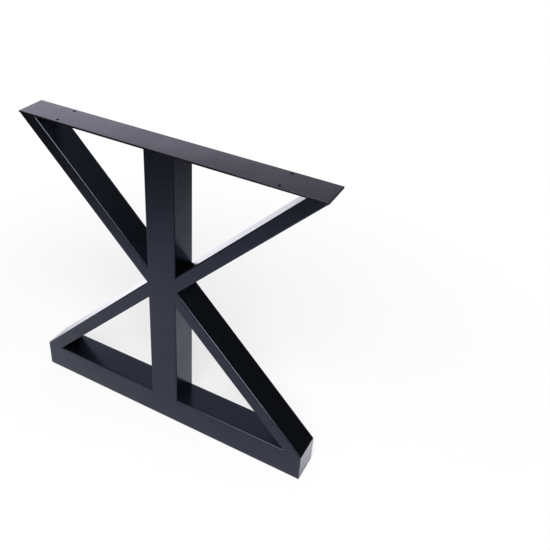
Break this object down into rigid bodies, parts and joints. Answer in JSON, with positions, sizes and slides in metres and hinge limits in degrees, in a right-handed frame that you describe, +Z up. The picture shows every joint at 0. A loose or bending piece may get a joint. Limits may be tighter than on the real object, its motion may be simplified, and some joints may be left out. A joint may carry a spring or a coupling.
{
  "type": "x shaped table leg",
  "caption": "Welded steel table leg: an upright post on a foot rail under a flat mounting plate, with slanted braces that form an X.",
  "frame": {"origin": "on the floor, under the middle of the foot rail", "axes": "+X along the leg's width, +Y through its depth towards the back, +Z up"},
  "size_m": [0.71, 0.068, 0.71],
  "materials": {
    "frame_coating": "satin black powder coat",
    "plate_coating": "satin black powder coat",
    "weld_coating": "satin black powder coat over ground welds"
  },
  "bodies": {
    "root": {"top_plate": "plate_coating", "centre_post": "frame_coating", "foot_rail": "frame_coating", "upper_left_brace": "frame_coating", "upper_right_brace": "frame_coating", "lower_left_brace": "frame_coating", "lower_right_brace": "frame_coating", "left_end_cap": "frame_coating", "right_end_cap": "frame_coating", "front_post_foot_weld": "weld_coating", "back_post_foot_weld": "weld_coating", "front_left_crossing_weld": "weld_coating", "front_left_brace_foot_weld": "weld_coating", "front_right_crossing_weld": "weld_coating", "front_right_brace_foot_weld": "weld_coating", "back_left_crossing_weld": "weld_coating", "back_left_brace_foot_weld": "weld_coating", "back_right_crossing_weld": "weld_coating", "back_right_brace_foot_weld": "weld_coating"}
  },
  "joints": []
}
